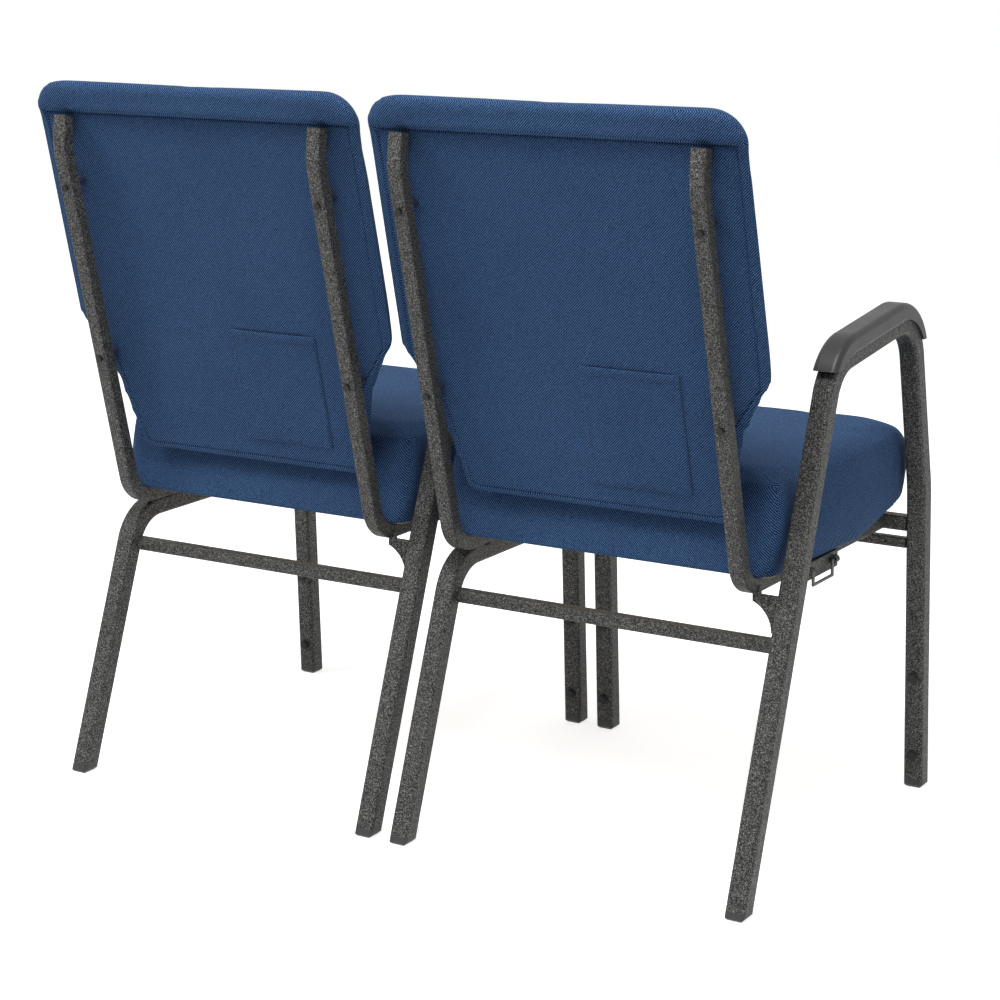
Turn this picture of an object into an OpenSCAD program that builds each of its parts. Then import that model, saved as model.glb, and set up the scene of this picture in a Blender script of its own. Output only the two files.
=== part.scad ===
// Two stacking upholstered chairs with tube frames, each with one arm, joined side by side.
// Millimetres, +Z up, sitters face -Y, the arm of each chair is on its -X side.
// Chair 1 stands at -X and chair 2 at +X. The origin is the middle of the row, on the floor.
// Each chair is drawn with its seat centre at x = 0 and its rear feet at y = 0, then placed.

/* [Row] */
// Gap between the backs of two joined chairs
row_gap = 8; // [3:0.5:20]

/* [Leg and arm frames] */
// Outside width of the square leg tube
leg_tube = 25.4; // [22:0.2:28]
// Wall of the leg tube
leg_wall = 1.8; // [1.2:0.1:2.5]
// Corner radius of the leg tube
leg_corner = 5; // [3:0.5:7]
// Gap between the seat cushion and the frame that carries the arm
arm_side_gap = 4.8; // [4:0.1:8]
// Distance that the frame without an arm stands in from the edge of the seat
side_frame_inset = 21.5; // [18:0.5:26]
// Backward rake of the rear legs, measured from upright
rear_rake = 20.3; // [16:0.1:24]
// Backward lean of the front legs below the seat
front_lean = 2.3; // [0:0.1:5]
// Backward lean of the front upright above the seat
upright_lean = 11.7; // [8:0.1:14]
// Distance along the floor from the rear feet to the front feet
foot_span = 515; // [490:1:540]
// Height at which the front upright bends back
upright_bend_z = 400; // [385:1:420]
// Height of the arm tube where it leaves the rear upright
arm_rear_z = 597; // [580:1:610]
// Height of the arm tube where it meets the front upright
arm_front_z = 624; // [610:1:640]
// Bend radius of the frame corners
corner_bend = 58; // [50:1:66]
// Bend radius of the front corner of the frame without an arm
front_corner_bend = 40; // [36:1:46]
// Bend radius of the slight bend in the front upright
upright_bend = 150; // [100:5:200]
// Height of the foot glide's end cap under the leg tube
glide_floor = 10; // [7:0.5:12]

/* [Back posts and cross members] */
// Outside width of the square post tube
post_tube = 19; // [17:0.5:20]
// Wall of the post tube
post_wall = 1.6; // [1.2:0.1:2]
// Corner radius of the post tube
post_corner = 3; // [2:0.5:4]
// Distance of the middle of the back posts in from the edge of the seat
post_inset = 34; // [32:0.5:38]
// Backward recline of the back, measured from upright
recline = 13.6; // [11:0.1:15]
// Height at which the post tip bends forward
post_kink_z = 826; // [815:1:835]
// Height of the top end of the posts
post_top_z = 864; // [855:1:866]
// Gap between the post tips and the rear panel
tip_gap = 0.4; // [0.3:0.1:1]
// Bend radius of the post under the seat
post_bend = 40; // [36:1:44]
// Bend radius of the kink in the post
kink_bend = 70; // [50:5:90]
// Outside width of the rear stretcher tube
stretcher_tube = 16; // [13:0.5:19]
// Height of the middle of the rear stretcher
stretcher_z = 286; // [270:1:300]
// Outside width of the lower front bar
brace_tube = 13; // [10:0.5:16]
// Height of the top of the lower front bar
brace_top_z = 332; // [328:1:336]
// Thickness of the gusset plate
gusset_plate = 5; // [3:0.5:6]
// Height of the gusset plate on the leg
gusset_h = 44; // [34:1:50]

/* [Seat] */
// Width of the seat cushion
seat_w = 458; // [450:1:460]
// Outward bulge of each side of the seat cushion between the arm uprights
side_bulge = 12; // [6:1:13]
// Forward distance from the rear feet to the rear edge of the seat
seat_rear = 118; // [116:1:124]
// Forward distance from the rear feet to the front edge of the seat
seat_front = 547; // [530:1:560]
// Height of the underside of the seat
seat_under_z = 360; // [350:1:366]
// Height of the crown of the seat
seat_top_z = 480; // [470:1:495]
// Thickness of the seat board
seat_board = 12; // [9:0.5:15]
// Rise of the front of the seat board
board_rise = 16; // [8:1:20]

/* [Back] */
// Distance that each side of the back stands out past the edge of the seat
back_spread = 19.5; // [17:0.5:23]
// Distance that each end of the bottom edge of the back stands in from its full width
back_foot_inset = 62; // [56:0.5:70]
// Forward distance from the rear feet to the bottom edge of the rear panel
back_foot_y = 109; // [107:0.5:112]
// Height of the bottom edge of the back
back_bottom_z = 417; // [412:1:425]
// Height of the top of the back
back_top_z = 909; // [895:1:925]
// Distance that the back stands in from its full width where its lower sides start to spread
back_neck_inset = 36; // [30:0.5:45]
// Height at which the lower sides of the back start to spread
neck_z = 545; // [530:1:560]
// Height at which the back reaches its full width
wing_z = 592; // [580:1:610]
// Height of the crease under the head roll
crease_z = 868; // [866:1:874]
// Thickness of the back cushion
back_thick = 66; // [60:1:76]
// Thickness of the covered rear panel
panel_thick = 6; // [4:0.5:8]
// Thickness of the back board
board_thick = 10; // [8:0.5:12]
// Radius of the corners at the ends of the head roll
roll_corner = 44; // [36:1:50]
// Thickness of the head roll in front of the rear panel
roll_depth = 38; // [34:1:44]
// Overhang of the head roll behind the rear panel
roll_overhang = 10; // [4:0.5:12]
// Gap between the posts and the rear panel
post_gap = 13; // [12:0.5:16]
// Width of the card pocket
pocket_w = 131; // [110:1:150]
// Height of the card pocket
pocket_h = 150; // [120:1:170]
// Distance from the middle of the back to the near edge of the pocket
pocket_x = 2; // [0:1:20]
// Height of the lower edge of the pocket
pocket_z = 454; // [445:1:470]
// Thickness of the pocket cloth with its hem
pocket_thick = 3; // [2:0.5:4]

/* [Armrest, glides and bumpers] */
// Width of the armrest pad
pad_w = 32; // [29:1:36]
// Thickness of the armrest pad above the tube
pad_h = 15.5; // [12:0.5:18]
// Thickness of the pad behind the rear upright
pad_rear_h = 6; // [4:0.5:8]
// Thickness of the pad in front of the front upright
pad_front_h = 6.5; // [5:0.5:10]
// Rounding of the pad's edges
pad_edge = 7; // [4:0.5:9]
// Bend radius of the pad along its middle
pad_bend = 68; // [58:1:74]
// Depth by which the pad laps over the sides of the tube
pad_lap = 6; // [4:0.5:8]
// Gap between the pad and the tube inside it
pad_fit = 0.15; // [0.1:0.05:0.3]
// Height at which the two ends of the pad stop
pad_end_z = 593; // [588:1:596]
// Bevel round the end of the foot glide
glide_bevel = 4; // [2:0.5:5]
// Length of the foot glide's shank inside the leg
glide_len = 22; // [15:1:30]
// Diameter of the stacking bumpers
bumper_d = 13; // [10:0.5:16]
// Thickness of the stacking bumpers
bumper_h = 6; // [4:0.5:8]
// Height of the upper bumpers
bumper_high_z = 150; // [140:1:160]
// Height of the lower bumpers
bumper_low_z = 45; // [42:1:55]

/* [Joining hardware] */
// Thickness of the steel bracket plate
plate = 3; // [2:0.5:3.5]
// Forward distance from the rear feet to the middle of the bail
bail_y = 245; // [236:1:250]
// Width of the bail between the middles of its arms
bail_w = 54; // [48:1:56]
// Reach of the bail from its hinge to the middle of its outer bar
bail_reach = 18; // [17:0.5:19]
// Diameter of the bail rod
bail_d = 4; // [3.5:0.1:4.2]
// Height of the bail hinge
bail_z = 352; // [350:0.5:353]
// Distance of the bail hinge out from the edge of the seat
bail_out = 2.5; // [2:0.1:3]
// Outside diameter of the hinge knuckles
knuckle_d = 9; // [8:0.5:9.5]
// Clearance of the bail rod in its knuckles
bail_fit = 0.05; // [0.02:0.01:0.1]
// Gap between the bail and the catch that it rests over
catch_gap = 0.4; // [0.3:0.1:0.8]
// Length of the bracket plates
bracket_len = 91; // [88:1:110]
// Height of the hook on the catch
hook_h = 8.5; // [7:0.5:9]

/* [Fasteners] */
// Diameter of the back screws
back_screw_d = 6; // [5:0.5:6]
// Diameter of the heads of the back screws
back_head_d = 8.5; // [8:0.5:10]
// Diameter of the small screws
small_screw_d = 4.6; // [4:0.2:5]
// Diameter of the heads of the small screws
small_head_d = 9; // [8:0.5:10]
// Thickness of the screw heads
head_h = 3; // [2:0.5:3.5]
// Height of the upper back screws
screw_high_z = 781; // [770:1:790]
// Height of the lower back screws
screw_low_z = 554; // [545:1:565]
// Diametral clearance of the screw holes
hole_play = 0.6; // [0.4:0.1:1]
// Outside diameter of the tee nut barrels
nut_barrel_d = 8; // [7.5:0.5:9]
// Diameter of the tee nut flanges
nut_flange_d = 18; // [15:0.5:20]
// Thickness of the tee nut flanges
nut_flange_h = 1.5; // [1:0.1:2]

/* [Hidden] */
$fn = 48;
// Angles and shares below have no length of their own
eps = 0.01 * leg_wall;
bend_swell = leg_wall / 50;
bend_lap = leg_wall / 9;
big = 4 * foot_span;
rake_run = tan(rear_rake);
lean_run = tan(front_lean);
upright_run = tan(upright_lean);
recline_run = tan(recline);
// Middle height of the post run and the seat bar, which lie under the seat
run_z = seat_under_z - post_tube / 2;
// Middle height of the rail under the seat on the side without an arm
rail_z = seat_under_z - post_tube - leg_tube / 2;
// Rear face of the front legs at the height of the seat bars
bar_rear = foot_span - run_z * lean_run - leg_tube / 2;
// Length of the back along its own slope
back_len = (back_top_z - back_bottom_z) / cos(recline);
neck_s = (neck_z - back_bottom_z) / cos(recline);
wing_s = (wing_z - back_bottom_z) / cos(recline);
crease_s = (crease_z - back_bottom_z) / cos(recline);
// Sideways places, which all follow the width of the seat
back_w = seat_w + 2 * back_spread;
back_foot_w = back_w - 2 * back_foot_inset;
back_neck_w = back_w - 2 * back_neck_inset;
pitch = back_w + row_gap;
arm_frame_x = seat_w / 2 + arm_side_gap + leg_tube / 2;
side_frame_x = seat_w / 2 - side_frame_inset;
post_x = seat_w / 2 - post_inset;
bail_x = seat_w / 2 + bail_out;
board_rear = seat_rear + seat_board * 0.8;
board_front = seat_front - seat_board * 2;
// Row limits, used to centre the row over the origin
hook_x = pitch - bail_x - bail_reach + bail_d;
row_arm_side = arm_frame_x + pad_w / 2;
row_catch_side = max(hook_x + plate, back_w / 2);
row_shift_x = (row_arm_side - row_catch_side) / 2;

frame_colour = [0.31, 0.31, 0.32];
fabric_colour = [0.17, 0.28, 0.46];
plastic_colour = [0.16, 0.16, 0.17];
steel_colour = [0.6, 0.61, 0.62];
wood_colour = [0.72, 0.58, 0.4];

// Forward distance from the rear feet to the rear panel at height z
function panel_y(z) = back_foot_y - recline_run * (z - back_bottom_z);

// Corner points of the frames as [y, z], from the front foot up and over to the rear foot
front_foot = [-foot_span, 0];
front_knee = [-foot_span + upright_bend_z * lean_run, upright_bend_z];
arm_front = [front_knee[0] + (arm_front_z - upright_bend_z) * upright_run, arm_front_z];
arm_rear = [-arm_rear_z * rake_run, arm_rear_z];
rear_foot = [0, 0];
rail_front = [-foot_span + rail_z * lean_run, rail_z];
rail_rear = [-rail_z * rake_run, rail_z];
under_floor = leg_tube;
front_start = front_foot - [under_floor * lean_run, under_floor];
rear_end = rear_foot + [under_floor * rake_run, -under_floor];
arm_points = [front_start, front_knee, arm_front, arm_rear, rear_end];
arm_bends = [0, upright_bend, corner_bend, corner_bend, 0];
side_points = [front_start, rail_front, rail_rear, rear_end];
side_bends = [0, front_corner_bend, corner_bend, 0];

// Post path as [y, z], from the front bar back and up to the tip
post_mid = (post_gap + post_tube / 2) / cos(recline);
function post_y(z) = -panel_y(z) + post_mid;
post_points = [
    [-bar_rear, run_z],
    [post_y(run_z), run_z],
    [post_y(post_kink_z), post_kink_z],
    [-panel_y(post_top_z) + tip_gap + post_tube / 2, post_top_z]
];
post_bends = [0, post_bend, kink_bend, 0];

// The rearmost point of the row is the outside of the kink in the posts
kink_way = heading(post_points, 1);
kink_centre = post_points[2] - kink_way * bend_cut(post_points, post_bends, 2) + left_of(kink_way) * kink_bend;
row_shift_y = (seat_front - kink_centre[0] - kink_bend - post_tube / 2) / 2;

function unit(v) = v / norm(v);
function left_of(d) = [-d[1], d[0]];
function turn(a, b) = atan2(a[0] * b[1] - a[1] * b[0], a * b);
function heading(p, i) = unit(p[i + 1] - p[i]);
function bend_turn(p, i) = (i == 0 || i == len(p) - 1) ? 0 : turn(heading(p, i - 1), heading(p, i));
function bend_cut(p, r, i) = r[i] * tan(abs(bend_turn(p, i)) / 2);

// Sweeps a flat section along a path in the upright plane; the section's y points to the path's left.
// The first child is the section of the straight runs and the last child that of the bends, which
// swell a little as bent tube does, so that the runs end inside them.
module sweep(points, bends) {
    last = len(points) - 1;
    for (i = [0 : last - 1]) {
        d = heading(points, i);
        from = points[i] + d * (bend_cut(points, bends, i) - (i > 0 ? bend_lap : 0));
        to = points[i + 1] - d * (bend_cut(points, bends, i + 1) - (i < last - 1 ? bend_lap : 0));
        translate([0, from[0], from[1]])
            rotate([atan2(-d[0], d[1]), 0, 0])
                linear_extrude(norm(to - from))
                    mirror([0, 1])
                        children(0);
    }
    for (i = [1 : last - 1]) {
        d = heading(points, i - 1);
        angle = bend_turn(points, i);
        side = sign(angle);
        start = points[i] - d * bend_cut(points, bends, i);
        centre = start + left_of(d) * bends[i] * side;
        spoke = start - centre;
        first = atan2(spoke[1], spoke[0]) + min(angle, 0);
        translate([0, centre[0], centre[1]])
            rotate([0, 90, 0])
                rotate([0, 0, 90 + first])
                    rotate_extrude(angle = abs(angle))
                        translate([bends[i], 0])
                            if (side < 0)
                                mirror([1, -1])
                                    children($children - 1);
                            else
                                rotate(90)
                                    children($children - 1);
    }
}

// Square section with round corners
module bar_section(size, corner) {
    square([size, size - 2 * corner], center = true);
    square([size - 2 * corner, size], center = true);
    for (x = [-1, 1], y = [-1, 1])
        translate([x, y] * (size / 2 - corner))
            circle(corner);
}

// Wall of a square tube
module tube_section(size, wall, corner) {
    difference() {
        bar_section(size, corner);
        bar_section(size - 2 * wall, corner - wall / 2);
    }
}

// Bent square tube along a path
module bent_tube(points, bends, size, wall, corner) {
    sweep(points, bends) {
        tube_section(size, wall, corner);
        tube_section(size + 2 * bend_swell, wall + 2 * bend_swell, corner + bend_swell);
    }
}

// The outer shape of a bent tube, for cutting a neighbour to fit it
module bent_bar(points, bends, size, corner) {
    sweep(points, bends) {
        bar_section(size, corner);
        bar_section(size + 2 * bend_swell, corner + bend_swell);
    }
}

module below(z) {
    translate([-big / 2, -big / 2, z - big])
        cube(big);
}

module above(z) {
    translate([-big / 2, -big / 2, z])
        cube(big);
}

// Puts a chair at its place in the row
module chair(number) {
    translate([(number - 1.5) * pitch + row_shift_x, row_shift_y, 0])
        children();
}

// Moves to the rear panel: x to the sitter's right, y up the slope from the bottom edge, z backward
module on_back() {
    translate([0, -panel_y(back_bottom_z), back_bottom_z])
        rotate([-90 - recline, 0, 0])
            rotate([0, 0, 180])
                children();
}

// A cylinder that runs backward from depth a to depth b at one point of the back
module back_rod(x, z, a, b, d) {
    on_back()
        translate([x, (z - back_bottom_z) / cos(recline), a])
            cylinder(d = d, h = b - a);
}

// The four places where screws hold the back to the posts
module each_back_screw() {
    for (x = [-post_x, post_x], z = [screw_low_z, screw_high_z]) {
        $screw_x = x;
        $screw_z = z;
        children();
    }
}

module arm_frame(number) {
    color(frame_colour) chair(number)
        translate([-arm_frame_x, 0, 0])
            difference() {
                bent_tube(arm_points, arm_bends, leg_tube, leg_wall, leg_corner);
                below(glide_floor);
                arm_screw_holes();
                bumper_holes();
            }
}

module side_frame(number) {
    color(frame_colour) chair(number)
        translate([side_frame_x, 0, 0])
            difference() {
                bent_tube(side_points, side_bends, leg_tube, leg_wall, leg_corner);
                below(glide_floor);
                bumper_holes();
            }
}

// Square tube that runs across the chair
module cross_tube(size, wall, corner, x0, x1, y, z) {
    translate([x0, y, z])
        rotate([90, 0, 90])
            linear_extrude(x1 - x0)
                tube_section(size, wall, corner);
}

arm_inner = -arm_frame_x + leg_tube / 2;
side_inner = side_frame_x - leg_tube / 2;

module rear_stretcher(number) {
    color(frame_colour) chair(number)
        cross_tube(stretcher_tube, post_wall, post_corner - post_wall / 2, arm_inner, side_inner,
            -stretcher_z * rake_run - leg_tube + stretcher_tube, stretcher_z);
}

module seat_front_bar(number) {
    color(frame_colour) chair(number)
        cross_tube(post_tube, post_wall, post_corner, arm_inner, side_frame_x + leg_tube / 3,
            -bar_rear - post_tube / 2, run_z);
}

module front_brace(number) {
    color(frame_colour) chair(number)
        cross_tube(brace_tube, post_wall, post_corner - post_wall / 2, arm_inner, side_inner,
            -bar_rear - brace_tube / 2, brace_top_z - brace_tube / 2);
}

// Plate between the rear leg and the right post, with a saddle under the post and a hollow lower edge
module rear_gusset(number) {
    top = seat_under_z - post_tube;
    reach = arm_frame_x - leg_tube / 2 - post_x - gusset_plate / 2;
    lip = gusset_h / 5;
    foot = reach / 3;
    hollow = (pow(reach - foot, 2) + pow(gusset_h - lip, 2)) / (2 * (reach - foot));
    color(frame_colour) chair(number)
        difference() {
            translate([arm_inner, -top * rake_run, top])
                rotate([90, 0, 0])
                    linear_extrude(gusset_plate)
                        difference() {
                            union() {
                                translate([0, -gusset_h])
                                    square([reach, gusset_h]);
                                translate([reach - post_tube / 2, -lip])
                                    square([post_tube / 2, post_tube]);
                            }
                            translate([foot + hollow, -gusset_h])
                                circle(hollow, $fn = 96);
                        }
            translate([-post_x, 0, 0])
                bent_bar(post_points, post_bends, post_tube, post_corner);
        }
}

module back_post(number, x) {
    color(frame_colour) chair(number)
        difference() {
            translate([x, 0, 0])
                bent_tube(post_points, post_bends, post_tube, post_wall, post_corner);
            each_back_screw()
                back_rod($screw_x, $screw_z, 0, post_gap + post_tube + plate, back_screw_d + hole_play);
            seat_screw_rods(small_screw_d + hole_play, seat_under_z - 2 * post_tube, seat_under_z);
        }
}

module back_post_right(number) {
    back_post(number, -post_x);
}

module back_post_left(number) {
    back_post(number, post_x);
}

// Plastic plugs in the upper ends of the posts
module post_plugs(number) {
    tip = post_points[3];
    d = heading(post_points, 2);
    color(plastic_colour) chair(number)
        for (x = [-post_x, post_x])
            translate([x, tip[0], tip[1]])
                rotate([atan2(-d[0], d[1]), 0, 0]) {
                    linear_extrude(post_wall)
                        bar_section(post_tube, post_corner);
                    translate([0, 0, -post_tube / 2])
                        linear_extrude(post_tube / 2 + eps)
                            bar_section(post_tube - 2 * post_wall, post_corner - post_wall / 2);
                }
}

// Steel spacers between the posts and the back
module post_spacers(number) {
    color(steel_colour) chair(number)
        each_back_screw()
            difference() {
                back_rod($screw_x, $screw_z, 0, post_gap, back_head_d + plate);
                back_rod($screw_x, $screw_z, -plate, post_gap + plate, back_screw_d + hole_play);
            }
}

module back_screws(number) {
    head_from = post_gap + post_tube;
    color(steel_colour) chair(number)
        each_back_screw() {
            back_rod($screw_x, $screw_z, -panel_thick - board_thick, head_from + eps, back_screw_d);
            back_rod($screw_x, $screw_z, head_from, head_from + head_h, back_head_d);
        }
}

// Tee nuts pressed into the front of the back board
module back_tee_nuts(number) {
    face = -panel_thick - board_thick;
    color(steel_colour) chair(number)
        each_back_screw()
            difference() {
                union() {
                    back_rod($screw_x, $screw_z, face - nut_flange_h, face + board_thick - nut_flange_h, nut_barrel_d);
                    back_rod($screw_x, $screw_z, face - nut_flange_h, face, nut_flange_d);
                }
                back_rod($screw_x, $screw_z, face - plate, face + board_thick, back_screw_d + 2 * bail_fit);
            }
}

// Outline of the back, narrow at the foot, drawn in by inset at the sides and by low at the foot
module back_outline(inset, low, top) {
    wide = back_w / 2 - inset;
    foot = back_foot_w / 2 - inset;
    neck = back_neck_w / 2 - inset;
    polygon([
        [-foot, low], [foot, low], [neck, neck_s], [wide, wing_s], [wide, top],
        [-wide, top], [-wide, wing_s], [-neck, neck_s]
    ]);
}

module rear_panel(number) {
    color(fabric_colour) chair(number)
        difference() {
            on_back()
                translate([0, 0, -panel_thick])
                    linear_extrude(panel_thick)
                        back_outline(back_w / 30, back_w / 40, crease_s);
            each_back_screw()
                back_rod($screw_x, $screw_z, -2 * panel_thick, panel_thick, back_screw_d + hole_play);
        }
}

module back_board(number) {
    color(wood_colour) chair(number)
        difference() {
            on_back()
                translate([0, 0, -panel_thick - board_thick])
                    linear_extrude(board_thick)
                        back_outline(back_w / 30, back_w / 18, crease_s);
            each_back_screw()
                back_rod($screw_x, $screw_z, -2 * back_thick, panel_thick, nut_barrel_d + 2 * bail_fit);
        }
}

// Slices of the back cushion: depth, width, foot and top as shares of the whole
back_slice_shares = [
    [0.00, 1.000, 0.000, 0.940],
    [0.12, 0.985, 0.000, 0.950],
    [0.35, 0.940, 0.070, 0.955],
    [0.60, 0.885, 0.140, 0.940],
    [0.85, 0.820, 0.210, 0.900],
    [1.00, 0.680, 0.320, 0.800]
];
// Slices of the head roll: depth as a share of its whole depth, then width and drop as shares of its corner
roll_slice_shares = [
    [0.00, 0.10, 0.14],
    [0.10, 0.02, 0.03],
    [0.21, 0.00, 0.00],
    [0.42, 0.11, 0.02],
    [0.63, 0.28, 0.06],
    [0.83, 0.47, 0.22],
    [1.00, 0.72, 0.58]
];

// One thin slice of the back cushion, either of its broad part or of its narrow foot
module back_slice(share, broad) {
    corner = roll_corner * 0.45;
    bend = roll_corner / 6;
    top_corner = roll_corner * 0.8;
    wide = back_w / 2 * share[1] - corner;
    neck = back_neck_w / 2 * share[1] - bend;
    foot = back_foot_w / 2 * share[1] - corner;
    low = back_len * share[2];
    join = max(low + bend, neck_s);
    wing = max(wing_s + corner * 0.6, join + corner);
    top = [back_w / 2 * share[1] - top_corner, back_len * share[3] - top_corner, top_corner];
    rounds = broad ? [[neck, join, bend], [wide, wing, corner], top] :
        [[foot, low + corner, corner], [neck, join + corner, bend]];
    translate([0, 0, -back_thick * share[0]])
        for (p = rounds, side = [-1, 1])
            translate([side * p[0], p[1], 0])
                cylinder(r = p[2], h = eps, $fn = 24);
}

// One thin slice of the head roll, which ends above the crease
module roll_slice(share) {
    depth = roll_overhang - (roll_overhang + roll_depth) * share[0];
    wide = back_w / 2 - roll_corner * (1 + share[1]);
    rise = (back_top_z - back_bottom_z - max(0, -depth) * sin(recline)) / cos(recline);
    for (side = [-1, 1]) {
        translate([side * wide, rise - roll_corner * (1 + share[2]), depth])
            cylinder(r = roll_corner, h = eps, $fn = 40);
        translate([side * (wide + roll_corner - eps), crease_s, depth])
            cylinder(r = eps, h = eps, $fn = 12);
    }
}

// Crowned cushion of the back with its head roll; the boards sit in a recess at its rear
module back_cushion(number) {
    color(fabric_colour) chair(number)
        on_back()
            difference() {
                union() {
                    hull() {
                        for (share = back_slice_shares)
                            back_slice(share, true);
                        for (share = roll_slice_shares)
                            roll_slice(share);
                    }
                    hull()
                        for (share = back_slice_shares)
                            back_slice(share, false);
                }
                translate([-back_w, -back_len, 0])
                    cube([2 * back_w, back_len + crease_s, 2 * roll_overhang]);
                translate([0, 0, -panel_thick])
                    linear_extrude(panel_thick + eps)
                        back_outline(back_w / 30, back_w / 40, crease_s);
                translate([0, 0, -panel_thick - board_thick])
                    linear_extrude(board_thick + eps)
                        back_outline(back_w / 30, back_w / 18, crease_s);
                for (x = [-post_x, post_x], z = [screw_low_z, screw_high_z])
                    translate([x, (z - back_bottom_z) / cos(recline), -panel_thick - board_thick - nut_flange_h])
                        cylinder(d = nut_flange_d + 2 * pad_fit, h = nut_flange_h + eps, $fn = 24);
            }
}

// Flat cloth pocket on the rear panel, open along its upper edge
module card_pocket(number) {
    low = (pocket_z - back_bottom_z) / cos(recline);
    cloth = pocket_thick / 3;
    color(fabric_colour) chair(number)
        on_back()
            translate([pocket_x, low, 0])
                difference() {
                    cube([pocket_w, pocket_h, pocket_thick]);
                    translate([2 * cloth, 2 * cloth, cloth])
                        cube([pocket_w - 4 * cloth, pocket_h, cloth]);
                }
}

// Side profile of the bent seat board as [y, z]
module board_profile() {
    flat = seat_rear + (seat_front - seat_rear) * 0.42;
    rise = seat_rear + (seat_front - seat_rear) * 0.75;
    low = seat_under_z;
    up = [0, seat_board];
    low_edge = [
        [seat_board - board_rear, low], [-flat, low],
        [-rise, low + board_rise], [-seat_board - board_front, low + board_rise]
    ];
    polygon([
        low_edge[0], low_edge[1], low_edge[2], low_edge[3],
        low_edge[3] + up, low_edge[2] + up, low_edge[1] + up, low_edge[0] + up
    ]);
}

// The seat board without its holes: the bent profile, cut to a plan with rounded corners
module board_solid() {
    half = seat_w / 2 - seat_board;
    bend = seat_w / 9 - seat_board;
    intersection() {
        translate([-seat_w / 2, 0, 0])
            rotate([90, 0, 90])
                linear_extrude(seat_w)
                    board_profile();
        translate([0, 0, seat_under_z - seat_board])
            linear_extrude(3 * seat_board + board_rise)
                hull()
                    for (side = [-1, 1]) {
                        translate([side * (half - seat_board), -board_rear - seat_board])
                            circle(r = seat_board, $fn = 24);
                        translate([side * (half - bend), -board_front + bend])
                            circle(r = bend, $fn = 32);
                    }
    }
}

module seat_board(number) {
    color(wood_colour) chair(number)
        difference() {
            board_solid();
            seat_screw_rods(small_screw_d, seat_under_z - seat_board, seat_under_z + seat_board * 0.8);
            bracket_screw_rods(small_screw_d, seat_under_z - seat_board, seat_under_z + seat_board * 0.8);
            post_room(0);
        }
}

// Room for the two posts where they bend up at the rear of the seat
module post_room(gap) {
    for (x = [-post_x, post_x])
        translate([x, 0, 0])
            bent_bar(post_points, post_bends, post_tube + 2 * gap, post_corner);
}

// Slices of the seat cushion: height, width, rear and front as shares of the whole
seat_slice_shares = [
    [0.00, 0.960, 0.000, 0.420],
    [0.12, 0.975, 0.010, 0.780],
    [0.24, 0.990, 0.010, 0.985],
    [0.50, 1.000, 0.025, 1.000],
    [0.76, 1.000, 0.040, 0.998],
    [0.90, 0.970, 0.055, 0.978],
    [0.97, 0.870, 0.120, 0.920],
    [1.00, 0.640, 0.300, 0.780]
];

// One thin slice of the seat cushion
module seat_slice(share) {
    depth = seat_front - seat_rear;
    rear_corner = seat_w / 20;
    front_corner = seat_w / 9;
    wide = seat_w / 2 * share[1];
    rear = -seat_rear - depth * share[2] - rear_corner;
    front = -seat_rear - depth * share[3] + front_corner;
    middle = -seat_rear - depth * 0.52;
    translate([0, 0, seat_under_z + (seat_top_z - seat_under_z) * share[0]])
        for (side = [-1, 1]) {
            translate([side * (wide + side_bulge - rear_corner), middle, 0])
                cylinder(r = rear_corner, h = eps, $fn = 24);
            translate([side * (wide - rear_corner), rear, 0])
                cylinder(r = rear_corner, h = eps, $fn = 24);
            translate([side * (wide - front_corner), front, 0])
                cylinder(r = front_corner, h = eps, $fn = 32);
        }
}

// Crowned cushion of the seat with drawn-in sides, fitted round its board
module seat_cushion(number) {
    color(fabric_colour) chair(number)
        difference() {
            hull()
                for (share = seat_slice_shares)
                    seat_slice(share);
            board_solid();
            translate([0, 0, -board_rise / 2])
                board_solid();
            post_room(pad_fit);
        }
}

// Depth of the block that the armrest pad is cut from
pad_block = leg_tube;

// Where two lines meet, each given by a point and a direction
function meet(p, d, q, e) = p + d * ((q[0] - p[0]) * e[1] - (q[1] - p[1]) * e[0]) / (d[0] * e[1] - d[1] * e[0]);
function pad_shift(d, h) = left_of(d) * (leg_tube / 2 + h - pad_block / 2);

// Path of the middle of the pad's block, further from the arm tube than from the uprights
up_way = unit(arm_front - front_knee);
arm_way = unit(arm_rear - arm_front);
down_way = unit(rear_foot - arm_rear);
pad_line_front = front_knee + pad_shift(up_way, pad_front_h);
pad_line_top = arm_front + pad_shift(arm_way, pad_h);
pad_line_rear = arm_rear + pad_shift(down_way, pad_rear_h);
pad_points = [
    pad_line_front,
    meet(pad_line_front, up_way, pad_line_top, arm_way),
    meet(pad_line_top, arm_way, pad_line_rear, down_way),
    pad_line_rear + down_way * arm_rear_z / 2
];

// Plain rectangle that clears the space inside the pad, up to the line where the pad stops
module pad_clearance(swell) {
    translate([-pad_w, -pad_block])
        square([2 * pad_w, pad_block + leg_tube / 2 - pad_lap + swell]);
}

// Rounded cap over the arm tube, thinner where it turns down over the uprights
module arm_pad(number) {
    color(plastic_colour) chair(number)
        translate([-arm_frame_x, 0, 0])
            difference() {
                sweep(pad_points, [0, pad_bend, pad_bend, 0]) {
                    pad_bar(0);
                    pad_bar(bend_swell);
                }
                sweep(arm_points, arm_bends) {
                    pad_clearance(0);
                    pad_clearance(bend_swell);
                }
                bent_bar(arm_points, arm_bends, leg_tube + 2 * pad_fit, leg_corner + pad_fit);
                below(pad_end_z);
                each_arm_screw()
                    translate([0, 0, -leg_tube])
                        cylinder(d = small_screw_d, h = 1.5 * leg_tube + pad_h * 0.6);
            }
}

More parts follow.
